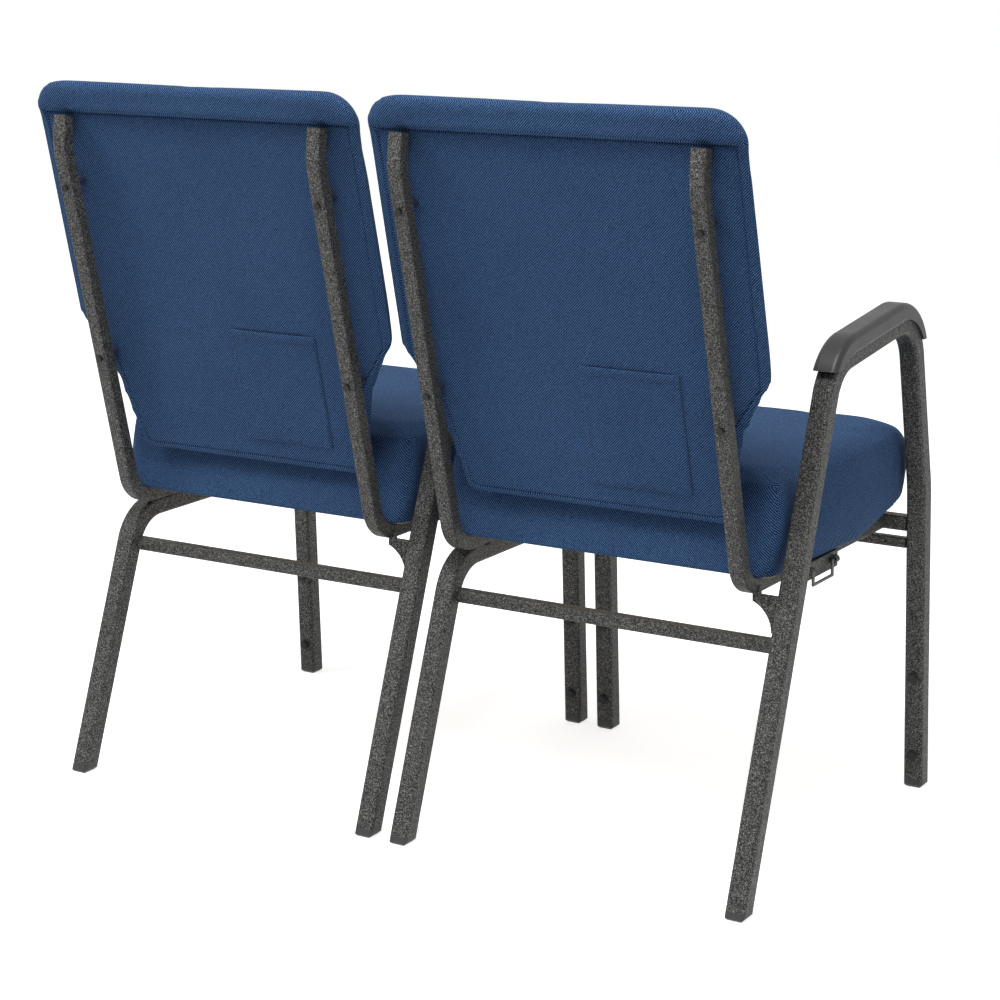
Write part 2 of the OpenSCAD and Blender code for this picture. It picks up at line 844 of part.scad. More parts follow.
// Block that the pad is cut from, with rounded edges
module pad_bar(swell) {
    half_w = pad_w / 2 + swell;
    half_h = pad_block / 2 + swell;
    square([2 * half_w, 2 * (half_h - pad_edge)], center = true);
    square([2 * (half_w - pad_edge), 2 * half_h], center = true);
    for (x = [-1, 1], y = [-1, 1])
        translate([x * (half_w - pad_edge), y * (half_h - pad_edge)])
            circle(pad_edge);
}

// The two places where screws come up through the arm tube into the pad
module each_arm_screw() {
    for (share = [0.35, 0.68]) {
        p = arm_front + (arm_rear - arm_front) * share;
        translate([0, p[0], p[1]])
            rotate([atan2(arm_way[1], arm_way[0]), 0, 0])
                children();
    }
}

module arm_screw_holes() {
    each_arm_screw()
        translate([0, 0, -leg_tube])
            cylinder(d = small_screw_d + hole_play, h = 2 * leg_tube);
}

module arm_screws(number) {
    color(steel_colour) chair(number)
        translate([-arm_frame_x, 0, 0])
            each_arm_screw() {
                translate([0, 0, -leg_tube / 2 - head_h])
                    cylinder(d = small_head_d, h = head_h);
                translate([0, 0, -leg_tube / 2 - eps])
                    cylinder(d = small_screw_d, h = leg_tube + pad_h * 0.6);
            }
}

// A foot glide in the end of a leg that leans back by angle: a cap as wide as the tube, with a shank
module glide(angle) {
    difference() {
        union() {
            difference() {
                rotate([angle, 0, 0])
                    translate([0, 0, -leg_tube])
                        linear_extrude(2 * leg_tube)
                            bar_section(leg_tube, leg_corner);
                above(glide_floor);
            }
            difference() {
                rotate([angle, 0, 0])
                    linear_extrude(glide_floor + glide_len)
                        bar_section(leg_tube - 2 * leg_wall, leg_corner - leg_wall / 2);
                below(glide_floor - eps);
            }
        }
        below(0);
        for (side = [0 : 3])
            rotate([0, 0, 90 * side])
                translate([leg_tube / 2 / (side % 2 == 0 ? 1 : cos(angle)) - glide_bevel, 0, 0])
                    rotate([0, 45, 0])
                        translate([0, -leg_tube, -leg_tube])
                            cube(2 * leg_tube);
    }
}

module foot_glides(number) {
    color(plastic_colour) chair(number)
        for (x = [-arm_frame_x, side_frame_x]) {
            translate([x, 0, 0])
                glide(rear_rake);
            translate([x, -foot_span, 0])
                glide(-front_lean);
        }
}

// Places on the rear faces of the front legs, with z pointing backward
module each_bumper() {
    for (z = [bumper_low_z, bumper_high_z])
        translate([0, -foot_span + z * lean_run, z])
            rotate([-90 - front_lean, 0, 0])
                translate([0, 0, leg_tube / 2])
                    children();
}

module bumper_holes() {
    each_bumper()
        translate([0, 0, -2 * leg_wall])
            cylinder(d = bumper_d / 2, h = 4 * leg_wall);
}

module stack_bumpers(number) {
    color(plastic_colour) chair(number)
        for (x = [-arm_frame_x, side_frame_x])
            translate([x, 0, 0])
                each_bumper() {
                    cylinder(d = bumper_d, h = bumper_h * 0.6);
                    cylinder(d = bumper_d * 0.8, h = bumper_h);
                    translate([0, 0, -2 * leg_wall])
                        cylinder(d = bumper_d / 2, h = 2 * leg_wall + eps);
                }
}

// Upright rods where the seat screws come up through the post runs, with their heads beside the rail
module seat_screw_rods(d, z0, z1) {
    screw_x = side_frame_x - leg_tube / 2 - small_head_d / 2 - hole_play / 2;
    for (x = [-screw_x, screw_x], y = [seat_rear + bail_w, seat_rear + 3 * bail_w])
        translate([x, -y, z0])
            cylinder(d = d, h = z1 - z0);
}

module seat_screws(number) {
    foot = seat_under_z - post_tube;
    color(steel_colour) chair(number) {
        seat_screw_rods(small_screw_d, foot - eps, seat_under_z + seat_board * 0.8);
        seat_screw_rods(small_head_d, foot - head_h, foot);
    }
}

bracket_out = bail_x - knuckle_d / 2;
bracket_in = post_x + post_tube / 2 + plate / 2;
bracket_y0 = bail_y - bracket_len * 0.43;

// Upright rods where the bracket screws go up into the seat board
module bracket_screw_rods(d, z0, z1) {
    x = (bracket_out + bracket_in) / 2 - plate;
    for (side = [-1, 1], share = [0.15, 0.85])
        translate([side * x, -bracket_y0 - bracket_len * share, z0])
            cylinder(d = d, h = z1 - z0);
}

// Angle plate under the seat edge; side is -1 for the arm side
module angle_plate(side, drop) {
    x0 = side < 0 ? -bracket_out : bracket_in;
    x1 = side < 0 ? -bracket_out : bracket_out - plate;
    translate([x0, -bracket_y0 - bracket_len, seat_under_z - plate])
        cube([bracket_out - bracket_in, bracket_len, plate]);
    translate([x1, -bracket_y0 - bracket_len, seat_under_z - drop])
        cube([plate, bracket_len, drop]);
}

module bail_bracket(number) {
    drop = post_tube + plate / 2;
    knuckle_len = knuckle_d;
    color(frame_colour) chair(number)
        difference() {
            union() {
                angle_plate(-1, drop);
                for (side = [-1, 1]) {
                    y = -bail_y + side * (bail_w / 2 + bail_d / 2 + plate / 4 + knuckle_len / 2);
                    translate([-bail_x, y + knuckle_len / 2, bail_z])
                        rotate([90, 0, 0])
                            cylinder(d = knuckle_d, h = knuckle_len);
                    translate([-bail_x, y - knuckle_len / 2, bail_z - knuckle_d / 2])
                        cube([bail_x - bracket_out + plate / 2, knuckle_len, knuckle_d]);
                }
            }
            translate([-bail_x, -bail_y + bail_w, bail_z])
                rotate([90, 0, 0])
                    cylinder(d = bail_d + 2 * bail_fit, h = 2 * bail_w);
            bracket_screw_rods(small_screw_d + hole_play, seat_under_z - 2 * plate, seat_under_z + plate);
        }
}

// Rod loop with two pivot ends; it hangs from its hinge at lift 0 and lies outward at lift 90
module bail(lift) {
    pivot = bail_w / 2 + bail_d / 2 + plate / 4 + knuckle_d * 0.9;
    rotate([0, lift, 0]) {
        for (side = [-1, 1]) {
            translate([0, side * bail_w / 2, -bail_reach])
                cylinder(d = bail_d, h = bail_reach);
            translate([0, side * bail_w / 2, -bail_reach])
                sphere(d = bail_d);
            translate([0, side * bail_w / 2, 0])
                sphere(d = bail_d);
            translate([0, side * bail_w / 2, 0])
                rotate([-90 * side, 0, 0])
                    cylinder(d = bail_d, h = pivot - bail_w / 2);
        }
        translate([0, bail_w / 2, -bail_reach])
            rotate([90, 0, 0])
                cylinder(d = bail_d, h = bail_w);
    }
}

// The bail of chair 1 hangs free; the bail of chair 2 lies over the catch of chair 1
module gang_bail(number) {
    lift = number == 1 ? 0 : 90;
    color(steel_colour) chair(number)
        translate([-bail_x, -bail_y, bail_z])
            bail(lift);
}

// Catch under the edge without an arm: a ledge that the bail rests over, and a hook inside the loop
module gang_catch(number) {
    ledge_top = bail_z - bail_d / 2 - catch_gap;
    drop = seat_under_z - ledge_top + plate;
    ledge_w = bail_w + bail_d * 2;
    hook_w = bail_w * 0.7;
    color(frame_colour) chair(number)
        difference() {
            union() {
                angle_plate(1, drop);
                translate([bracket_out - plate, -bail_y - ledge_w / 2, ledge_top - plate])
                    cube([hook_x + plate - bracket_out + plate, ledge_w, plate]);
                translate([hook_x, -bail_y - hook_w / 2, ledge_top - plate])
                    cube([plate, hook_w, plate + hook_h]);
            }
            bracket_screw_rods(small_screw_d + hole_play, seat_under_z - 2 * plate, seat_under_z + plate);
        }
}

module bracket_screws(number) {
    foot = seat_under_z - plate;
    color(steel_colour) chair(number) {
        bracket_screw_rods(small_screw_d, foot - eps, seat_under_z + seat_board * 0.8);
        bracket_screw_rods(small_head_d, foot - head_h, foot);
    }
}

arm_frame(1);  // arm_frame_1
side_frame(1);  // side_frame_1
rear_stretcher(1);  // rear_stretcher_1
seat_front_bar(1);  // seat_front_bar_1
front_brace(1);  // front_brace_1
rear_gusset(1);  // rear_gusset_1
back_post_right(1);  // back_post_right_1
back_post_left(1);  // back_post_left_1
post_plugs(1);  // post_plugs_1
post_spacers(1);  // post_spacers_1
seat_board(1);  // seat_board_1
seat_cushion(1);  // seat_cushion_1
back_board(1);  // back_board_1
back_cushion(1);  // back_cushion_1
rear_panel(1);  // rear_panel_1
card_pocket(1);  // card_pocket_1
back_screws(1);  // back_screws_1
back_tee_nuts(1);  // back_tee_nuts_1
arm_pad(1);  // arm_pad_1
arm_screws(1);  // arm_screws_1
foot_glides(1);  // foot_glides_1
stack_bumpers(1);  // stack_bumpers_1
seat_screws(1);  // seat_screws_1
bail_bracket(1);  // bail_bracket_1
gang_bail(1);  // gang_bail_1
gang_catch(1);  // gang_catch_1
bracket_screws(1);  // bracket_screws_1
arm_frame(2);  // arm_frame_2
side_frame(2);  // side_frame_2
rear_stretcher(2);  // rear_stretcher_2
seat_front_bar(2);  // seat_front_bar_2
front_brace(2);  // front_brace_2
rear_gusset(2);  // rear_gusset_2
back_post_right(2);  // back_post_right_2
back_post_left(2);  // back_post_left_2
post_plugs(2);  // post_plugs_2
post_spacers(2);  // post_spacers_2
seat_board(2);  // seat_board_2
seat_cushion(2);  // seat_cushion_2
back_board(2);  // back_board_2
back_cushion(2);  // back_cushion_2
rear_panel(2);  // rear_panel_2
card_pocket(2);  // card_pocket_2
back_screws(2);  // back_screws_2
back_tee_nuts(2);  // back_tee_nuts_2
arm_pad(2);  // arm_pad_2
arm_screws(2);  // arm_screws_2
foot_glides(2);  // foot_glides_2
stack_bumpers(2);  // stack_bumpers_2
seat_screws(2);  // seat_screws_2
bail_bracket(2);  // bail_bracket_2
gang_bail(2);  // gang_bail_2
gang_catch(2);  // gang_catch_2
bracket_screws(2);  // bracket_screws_2
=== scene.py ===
"""Dresses a packed row of two joined armchairs: sewn cushions, covered backs, card pockets and finishes."""

import math

import bmesh
import bpy
from bpy.props import FloatProperty, FloatVectorProperty, IntProperty, PointerProperty
from mathutils import Matrix, Vector
from mathutils.bvhtree import BVHTree


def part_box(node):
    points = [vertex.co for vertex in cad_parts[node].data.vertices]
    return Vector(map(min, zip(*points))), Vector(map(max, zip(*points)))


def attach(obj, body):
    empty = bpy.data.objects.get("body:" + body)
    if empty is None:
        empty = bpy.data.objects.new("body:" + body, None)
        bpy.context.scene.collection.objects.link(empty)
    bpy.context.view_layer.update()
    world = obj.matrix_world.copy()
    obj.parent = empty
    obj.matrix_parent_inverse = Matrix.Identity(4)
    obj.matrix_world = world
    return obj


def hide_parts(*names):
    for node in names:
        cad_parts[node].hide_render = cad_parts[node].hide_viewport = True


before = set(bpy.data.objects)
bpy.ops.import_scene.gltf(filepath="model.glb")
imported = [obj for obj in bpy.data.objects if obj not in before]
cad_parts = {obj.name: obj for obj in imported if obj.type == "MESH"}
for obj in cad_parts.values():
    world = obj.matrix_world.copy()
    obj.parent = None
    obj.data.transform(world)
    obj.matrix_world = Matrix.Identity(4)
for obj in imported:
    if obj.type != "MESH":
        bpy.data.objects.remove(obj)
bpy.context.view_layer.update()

bl_info = {
    "name": "Joined armchair row",
    "version": (1, 0, 0),
    "blender": (4, 5, 0),
    "location": "View3D > Sidebar > Seating",
    "description": "Covers and finishes a packed row of two joined armchairs",
    "category": "Object",
}

CHAIRS = (1, 2)

# Nodes of one chair, by the finish that they get
PAINTED_NODES = (
    "arm_frame", "side_frame", "rear_stretcher", "seat_front_bar", "front_brace", "rear_gusset",
    "back_post_right", "back_post_left", "bail_bracket", "gang_catch",
)
PLASTIC_NODES = ("post_plugs", "foot_glides")
RUBBER_NODES = ("stack_bumpers",)
WOOD_NODES = ("seat_board", "back_board")
ZINC_NODES = ("back_tee_nuts",)
SPACER_NODES = ("post_spacers",)
SCREW_NODES = ("back_screws", "seat_screws", "arm_screws", "bracket_screws")
ROD_NODES = ("gang_bail",)

# The cloth of a cushion's cover while it swells
BAG_CLOTH = {
    "quality": 4, "mass": 0.3, "tension_stiffness": 14, "compression_stiffness": 14, "shear_stiffness": 5,
    "bending_stiffness": 0.6, "use_pressure": True, "uniform_pressure_force": 4.0,
    "vertex_group_mass": "held",
}


def srgb(red, green, blue):
    """A colour given as screen values from 0 to 255, in the linear numbers that shaders use."""
    def linear(value):
        share = value / 255
        return share / 12.92 if share <= 0.04045 else ((share + 0.055) / 1.055) ** 2.4
    return (linear(red), linear(green), linear(blue), 1.0)


def size(name, description, default, **limits):
    """A length property in metres."""
    return FloatProperty(name=name, description=description, default=default, unit="LENGTH", **limits)


def share(name, description, default):
    """A property that holds a plain share or factor."""
    return FloatProperty(name=name, description=description, default=default, min=0.0)


def colour(name, description, default):
    """A colour property."""
    return FloatVectorProperty(
        name=name, description=description, default=default, size=4, subtype="COLOR", min=0.0, max=1.0
    )


class SeatingSizes(bpy.types.PropertyGroup):
    """Sizes of the soft pieces."""

    recline: FloatProperty(
        name="Recline", description="Backward lean of the back", default=math.radians(13.6), subtype="ANGLE"
    )
    panel_thick: size("Panel thickness", "Thickness of the covered rear panel", 0.006)
    recess: size("Recess", "Depth of the filling behind the rear panel", 0.021)
    panel_round: size("Panel rounding", "Rounding of the rear panel's edge", 0.004)
    panel_corner: size("Panel corner", "Rounding of the rear panel's lower corners", 0.009)
    panel_crown: size("Panel crown", "Swell of the cloth in the middle of the rear panel", 0.0012)
    crown_run: size("Crown run", "Distance from the panel's edge over which its cloth swells", 0.05)
    dimple: size("Dimple", "Depth of the cloth's dimple under a spacer", 0.0012)
    dimple_run: size("Dimple run", "Distance over which a dimple fades", 0.016)
    remesh: size("Remesh step", "Size of the cushion's faces before they are divided", 0.0055)
    draw_in: size("Draw in", "Distance that a cushion is drawn in before it swells", 0.0005)
    swell: size("Swell", "Furthest that a point of a cushion may swell", 0.008)
    seam: size("Seam", "Half the width of the groove round the rear panel", 0.0022)
    seam_reach: size("Seam reach", "Depth behind the panel's face, where the cushion is tucked in", 0.02)
    crease: size("Crease", "Height of the fold under the head roll", 0.008)
    roll_rise: size("Roll rise", "Distance that the head roll stands behind the panel above its fold", 0.011)
    wrap: size("Wrap", "Distance of the seat's cover from the edges of its board", 0.0025)
    wrap_reach: size("Wrap reach", "Distance within which the seat's cover follows its board", 0.016)
    seat_held: size("Seat held", "Distance from its board within which the seat's cover is held", 0.008)
    back_held: size("Back held", "Distance from its panel within which the back's cover is held", 0.003)
    give: share("Give", "Share of the cloth's own movement that the foam under it allows", 0.42)
    frames: IntProperty(name="Frames", description="Frames over which a cushion swells", default=20)
    pocket_width: size("Pocket width", "Width of the card pocket", 0.131)
    pocket_height: size("Pocket height", "Height of the card pocket", 0.15)
    pocket_side: size("Pocket side", "Distance from the middle of the back to the pocket", 0.002)
    pocket_low: size("Pocket foot", "Distance from the panel's foot to the pocket's", 0.0256)
    pocket_bulge: size("Pocket bulge", "Distance that the pocket's mouth stands off the panel", 0.0016)
    hem: size("Hem", "Depth of the folded hem at the pocket's mouth", 0.011)
    cloth: size("Cloth", "Thickness of the cover cloth", 0.0008)
    stitch: size("Stitch", "Length of a stitch", 0.0028)
    stitch_thick: size("Stitch thickness", "Thickness of a stitch", 0.00035)
    stitch_margin: size("Stitch margin", "Distance of the stitches from the pocket's edge", 0.0035)


class SeatingFinishes(bpy.types.PropertyGroup):
    """Colours and scales of the finishes."""

    cloth_dark: colour("Cloth shadow", "Colour between the threads", srgb(7, 15, 40))
    cloth_mid: colour("Cloth", "Colour of the cloth", srgb(25, 49, 88))
    cloth_light: colour("Cloth thread", "Colour of the raised threads", srgb(88, 128, 174))
    thread_colour: colour("Stitch thread", "Colour of the stitches", srgb(30, 44, 80))
    twill: size("Twill", "Distance between the ribs of the twill", 0.0032)
    paint_dark: colour("Paint pits", "Colour in the pits of the textured paint", srgb(10, 10, 10))
    paint_mid: colour("Paint", "Colour of the textured paint", srgb(27, 27, 26))
    paint_light: colour("Paint flecks", "Colour of the silver flecks", srgb(148, 148, 144))
    plastic: colour("Armrest", "Colour of the armrest plastic", srgb(24, 24, 25))
    black_plastic: colour("Black plastic", "Colour of the plugs and glides", srgb(46, 46, 47))
    # Painted shade: the spacers take the dark navy of the shadowed cloth, so that they sink into the shadow
    # beside the posts
    spacer: colour("Spacer", "Colour of the spacers behind the back", srgb(22, 33, 60))
    rubber: colour("Rubber", "Colour of the bumpers", srgb(30, 30, 31))
    wood_light: colour("Wood", "Colour of the plywood", srgb(205, 176, 132))
    wood_dark: colour("Wood grain", "Colour of the plywood's grain", srgb(160, 124, 82))
    zinc: colour("Zinc", "Colour of plated steel", srgb(168, 170, 172))
    screw: colour("Screw", "Colour of the blackened screws", srgb(44, 44, 45))
    rod: colour("Rod", "Colour of the coated bail", srgb(92, 92, 91))


class SeatingStage(bpy.types.PropertyGroup):
    """Camera and light."""

    camera_place: FloatVectorProperty(
        name="Camera place", description="Place of the camera", default=(-1.6961, 2.7147, 1.1307),
        size=3, subtype="TRANSLATION", unit="LENGTH",
    )
    camera_turn: FloatProperty(
        name="Camera turn", description="Turn of the view from straight ahead", default=math.radians(32.286),
        subtype="ANGLE",
    )
    camera_dip: FloatProperty(
        name="Camera dip", description="Downward tilt of the view", default=math.radians(10.702),
        subtype="ANGLE",
    )
    camera_roll: FloatProperty(
        name="Camera roll", description="Roll of the view", default=math.radians(-0.343), subtype="ANGLE"
    )
    lens: FloatProperty(name="Lens", description="Focal length in millimetres", default=92.019)
    shift_x: FloatProperty(name="Slide", description="Sideways shift of the lens", default=0.03)
    shift_y: FloatProperty(name="Rise", description="Upward shift of the lens", default=-0.12)
    floor_size: size("Floor", "Width of the floor", 14.0)
    floor_light: share("Floor light", "Light that the floor adds where it is seen", 0.74)
    sky: share("Sky", "Strength of the light from all round", 0.29)
    key: share("Key", "Power of the main lamp in watts", 56.0)
    top: share("Top", "Power of the overhead lamp in watts", 70.0)
    fill: share("Fill", "Power of the fill lamp in watts", 12.0)


def sizes():
    return bpy.context.scene.seating_sizes


def finishes():
    return bpy.context.scene.seating_finishes


def stage_values():
    return bpy.context.scene.seating_stage


# Places on the reclined back

class BackPlane:
    """The plane of one chair's rear panel: x to the sitter's right, s up the slope, d backward."""

    def __init__(self, chair):
        low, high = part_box(f"rear_panel_{chair}")
        self.lean = sizes().recline
        self.middle = (low.x + high.x) / 2
        self.foot_y = low.y + sizes().panel_thick * math.cos(self.lean)
        self.foot_z = low.z
        self.length = (high.z - low.z - sizes().panel_thick * math.sin(self.lean)) / math.cos(self.lean)

    def matrix(self):
        """Turns places on the back, as x, s and d, into places in the frame."""
        origin = self.world(0, 0, 0)
        ways = [self.world(*way) - origin for way in ((1, 0, 0), (0, 1, 0), (0, 0, 1))]
        turn = Matrix(ways).transposed().to_4x4()
        turn.translation = origin
        return turn

    def world(self, x, s, d):
        across = s * math.sin(self.lean) + d * math.cos(self.lean)
        rise = s * math.cos(self.lean) - d * math.sin(self.lean)
        return Vector((self.middle - x, self.foot_y + across, self.foot_z + rise))

    def local(self, point):
        across, rise = point.y - self.foot_y, point.z - self.foot_z
        return Vector((
            self.middle - point.x,
            across * math.sin(self.lean) + rise * math.cos(self.lean),
            across * math.cos(self.lean) - rise * math.sin(self.lean),
        ))

    def local_direction(self, way):
        return self.local(way + Vector((self.middle, self.foot_y, self.foot_z)))


def panel_half_width(chair):
    """A function that gives half the panel's width at a distance s up the slope, from the CAD panel."""
    plane = BackPlane(chair)
    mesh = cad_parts[f"rear_panel_{chair}"].data
    points = [plane.local(v.co) for v in mesh.vertices]
    edges = [sorted((points[a], points[b]), key=lambda p: p.y) for a, b in (e.vertices for e in mesh.edges)]

    def width(s):
        s = min(max(s, 0.0005), plane.length - 0.0005)
        widest = 0.0
        for low, high in edges:
            if low.y <= s <= high.y and high.y > low.y:
                along = (s - low.y) / (high.y - low.y)
                widest = max(widest, abs(low.x + (high.x - low.x) * along))
        return widest

    steps = 400
    table = [width(plane.length * i / steps) for i in range(steps + 1)]

    def rounded(s):
        at = min(max(s / plane.length, 0.0), 1.0) * steps
        i = min(int(at), steps - 1)
        flat = table[i] + (table[i + 1] - table[i]) * (at - i)
        corner = sizes().panel_corner
        if s < corner:
            flat -= corner - math.sqrt(max(0.0, corner ** 2 - (corner - max(s, 0.0)) ** 2))
        return flat

    return rounded


# Mesh helpers

def add_object(name, mesh):
    thing = bpy.data.objects.new(name, mesh)
    bpy.context.scene.collection.objects.link(thing)
    return thing


def dress(thing, body, material):
    """Gives a new piece its body and its material, in one material slot."""
    thing.data.materials.clear()
    thing.data.materials.append(material)
    for face in thing.data.polygons:
        face.use_smooth = True
    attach(thing, body)
    return thing


def apply_modifiers(thing):
    """Replaces the object's mesh by the mesh that its modifiers give."""
    graph = bpy.context.evaluated_depsgraph_get()
    mesh = bpy.data.meshes.new_from_object(thing.evaluated_get(graph))
    thing.modifiers.clear()
    old = thing.data
    thing.data = mesh
    bpy.data.meshes.remove(old)


def copy_node(name, node):
    """A new object with a copy of a CAD node's mesh."""
    return add_object(name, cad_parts[node].data.copy())


def add_slab(thing, plane, outline, low_d, high_d):
    """Adds a closed slab to the object's mesh, between two depths behind the back's rear plane."""
    form = bmesh.new()
    form.from_mesh(thing.data)
    rims = [[form.verts.new(plane.world(x, s, d)) for x, s in outline] for d in (low_d, high_d)]
    count = len(outline)
    faces = [form.faces.new(list(reversed(rims[0]))), form.faces.new(rims[1])]
    for i in range(count):
        j = (i + 1) % count
        faces.append(form.faces.new((rims[0][i], rims[0][j], rims[1][j], rims[1][i])))
    bmesh.ops.recalc_face_normals(form, faces=faces)
    form.to_mesh(thing.data)
    form.free()


def hull_of(name, points):
    """A closed convex form round the points."""
    form = bmesh.new()
    for p in points:
        form.verts.new(p)
    result = bmesh.ops.convex_hull(form, input=form.verts)
    spare = [v for v in result["geom_interior"] + result["geom_unused"] if isinstance(v, bmesh.types.BMVert)]
    bmesh.ops.delete(form, geom=list(set(spare)), context="VERTS")
    bmesh.ops.recalc_face_normals(form, faces=form.faces)
    mesh = bpy.data.meshes.new(name)
    form.to_mesh(mesh)
    form.free()
    return add_object(name, mesh)


def remesh(thing, step, rounds):
    """Gives the object even faces and softens its edges."""
    net = thing.modifiers.new("net", "REMESH")
    net.mode = "VOXEL"
    net.voxel_size = step
    soft = thing.modifiers.new("soft", "SMOOTH")
    soft.factor = 0.5
    soft.iterations = rounds
    apply_modifiers(thing)


def node_tree(node):
    """The surface of a CAD node, for finding its nearest point."""
    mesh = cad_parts[node].data
    return BVHTree.FromPolygons([v.co for v in mesh.vertices], [p.vertices for p in mesh.polygons])


def near_node(thing, node, reach):
    """The numbers of the object's points that lie within reach of a CAD node's surface."""
    tree = node_tree(node)
    return {v.index for v in thing.data.vertices if tree.find_nearest(v.co, reach)[0] is not None}


def plump(thing, held):
    """Draws a cushion in a little, then swells it under pressure; the held points stay where they are."""
    z = sizes()
    for vertex, way in [(v, v.normal.copy()) for v in thing.data.vertices if v.index not in held]:
        vertex.co -= way * z.draw_in
    thing.data.update()
    start = [v.co.copy() for v in thing.data.vertices]
    group = thing.vertex_groups.new(name="held")
    group.add(list(held), 1.0, "REPLACE")
    cloth = thing.modifiers.new("bag", "CLOTH")
    for name, value in BAG_CLOTH.items():
        setattr(cloth.settings, name, value)
    cloth.settings.effector_weights.gravity = 0
    cloth.collision_settings.use_collision = False
    cloth.collision_settings.use_self_collision = False
    cloth.point_cache.frame_start = 1
    cloth.point_cache.frame_end = z.frames
    for number in range(1, z.frames + 1):
        bpy.context.scene.frame_set(number)
    apply_modifiers(thing)
    bpy.context.scene.frame_set(1)
    for vertex, place in zip(thing.data.vertices, start):
        moved = vertex.co - place
        vertex.co = place + moved * z.give * min(1.0, z.swell / max(moved.length, 1e-9))
    thing.vertex_groups.clear()
    thing.data.update()


def divide(thing, levels=1):
    fine = thing.modifiers.new("fine", "SUBSURF")
    fine.levels = fine.render_levels = levels
    apply_modifiers(thing)


def weave_map(mesh, to_local, local_way):
    """Lays the cloth's threads flat on each side of the mesh, in metres, as a map named Weave."""
    layer = mesh.uv_layers.get("Weave") or mesh.uv_layers.new(name="Weave")
    places = [to_local(v.co) for v in mesh.vertices]
    for face in mesh.polygons:
        way = local_way(face.normal)
        across, up, out = abs(way.x), abs(way.y), abs(way.z)
        for corner in face.loop_indices:
            p = places[mesh.loops[corner].vertex_index]
            if out >= across and out >= up:
                layer.data[corner].uv = (p.x, p.y)
            elif across >= up:
                layer.data[corner].uv = (p.z, p.y)
            else:
                layer.data[corner].uv = (p.x, p.z)


# Material helpers

class Shader:
    """A new material and short ways to add and join its nodes."""

    def __init__(self, name):
        self.material = bpy.data.materials.new(name)
        self.material.use_nodes = True
        self.tree = self.material.node_tree
        self.base = self.tree.nodes["Principled BSDF"]

    def node(self, kind, inputs=(), **settings):
        made = self.tree.nodes.new(kind)
        for key, value in settings.items():
            setattr(made, key, value)
        for key, value in dict(inputs).items():
            self.feed(made, key, value)
        return made

    def feed(self, made, key, value):
        if isinstance(value, bpy.types.NodeSocket):
            self.tree.links.new(value, made.inputs[key])
        else:
            made.inputs[key].default_value = value

    def math(self, operation, first, second=0.0):
        return self.node("ShaderNodeMath", {0: first, 1: second}, operation=operation).outputs[0]

    def object_place(self):
        return self.node("ShaderNodeTexCoord").outputs["Object"]

    def stretched_place(self, *scale):
        """The place on the object, scaled along each axis."""
        return self.node("ShaderNodeMapping", {"Vector": self.object_place(), "Scale": scale}).outputs[0]

    def noise(self, scale, detail=2.0, rough=0.5, place=None):
        place = place or self.object_place()
        inputs = {"Scale": scale, "Detail": detail, "Roughness": rough, "Vector": place}
        return self.node("ShaderNodeTexNoise", inputs).outputs["Fac"]

    def ramp(self, factor, stops):
        made = self.node("ShaderNodeValToRGB", {"Fac": factor})
        spots = made.color_ramp.elements
        while len(spots) < len(stops):
            spots.new(0.5)
        for spot, (place, tint) in zip(spots, stops):
            spot.position = place
            spot.color = tint
        return made.outputs["Color"]

    def mix(self, factor, first, second, blend="MIX"):
        made = self.node("ShaderNodeMix", data_type="RGBA", blend_type=blend)
        self.feed(made, 0, factor)
        self.feed(made, 6, first)
        self.feed(made, 7, second)
        return made.outputs[2]

    def span(self, value, low, high):
        """The value, 0 to 1, stretched to run from low to high."""
        made = self.node("ShaderNodeMapRange", {"Value": value, "To Min": low, "To Max": high})
        return made.outputs["Result"]

    def grey(self, tone):
        """The tone, 0 to 1, as a grey colour."""
        return self.node("ShaderNodeCombineColor", {0: tone, 1: tone, 2: tone}).outputs[0]

    def bump(self, height, distance, strength=1.0):
        made = self.node("ShaderNodeBump", {"Height": height, "Distance": distance, "Strength": strength})
        self.feed(self.base, "Normal", made.outputs["Normal"])

    def set(self, **values):
        for key, value in values.items():
            self.feed(self.base, key.replace("_", " "), value)


def twill_material():
    """Navy twill: slanting ribs of raised threads, each broken into short floats."""
    f = finishes()
    m = Shader("navy_twill")
    weave = m.node("ShaderNodeUVMap", uv_map="Weave").outputs["UV"]
    parts = m.node("ShaderNodeSeparateXYZ", {"Vector": weave})
    across, up = parts.outputs["X"], parts.outputs["Y"]
    turns = 2 * math.pi / f.twill
    wobble = m.span(m.noise(260.0, 1.0), -0.9, 0.9)
    rib = m.math("SINE", m.math("ADD", m.math("MULTIPLY", m.math("SUBTRACT", across, up), turns), wobble))
    float_run = m.math("ADD", across, m.math("MULTIPLY", up, 0.35))
    floats = m.math("SINE", m.math("ADD", m.math("MULTIPLY", float_run, turns * 1.7), wobble))
    ridge = m.math("ADD", m.math("MULTIPLY", rib, 0.27), m.math("MULTIPLY", floats, 0.13))
    yarn = m.span(m.noise(900.0, 2.0), -0.34, 0.34)
    height = m.math("ADD", m.math("ADD", ridge, yarn), 0.5)
    threads = m.ramp(height, [(0.28, f.cloth_dark), (0.53, f.cloth_mid), (0.82, f.cloth_light)])
    uneven = m.span(m.noise(9.0, 3.0), 0.86, 1.12)
    toned = m.mix(1.0, threads, m.grey(uneven), "MULTIPLY")
    m.set(Base_Color=toned, Roughness=m.span(height, 0.95, 0.78))
    m.set(Specular_IOR_Level=0.15, Sheen_Weight=0.05, Sheen_Roughness=0.45, Sheen_Tint=srgb(150, 175, 215))
    m.bump(height, 0.0005, 0.7)
    return m.material


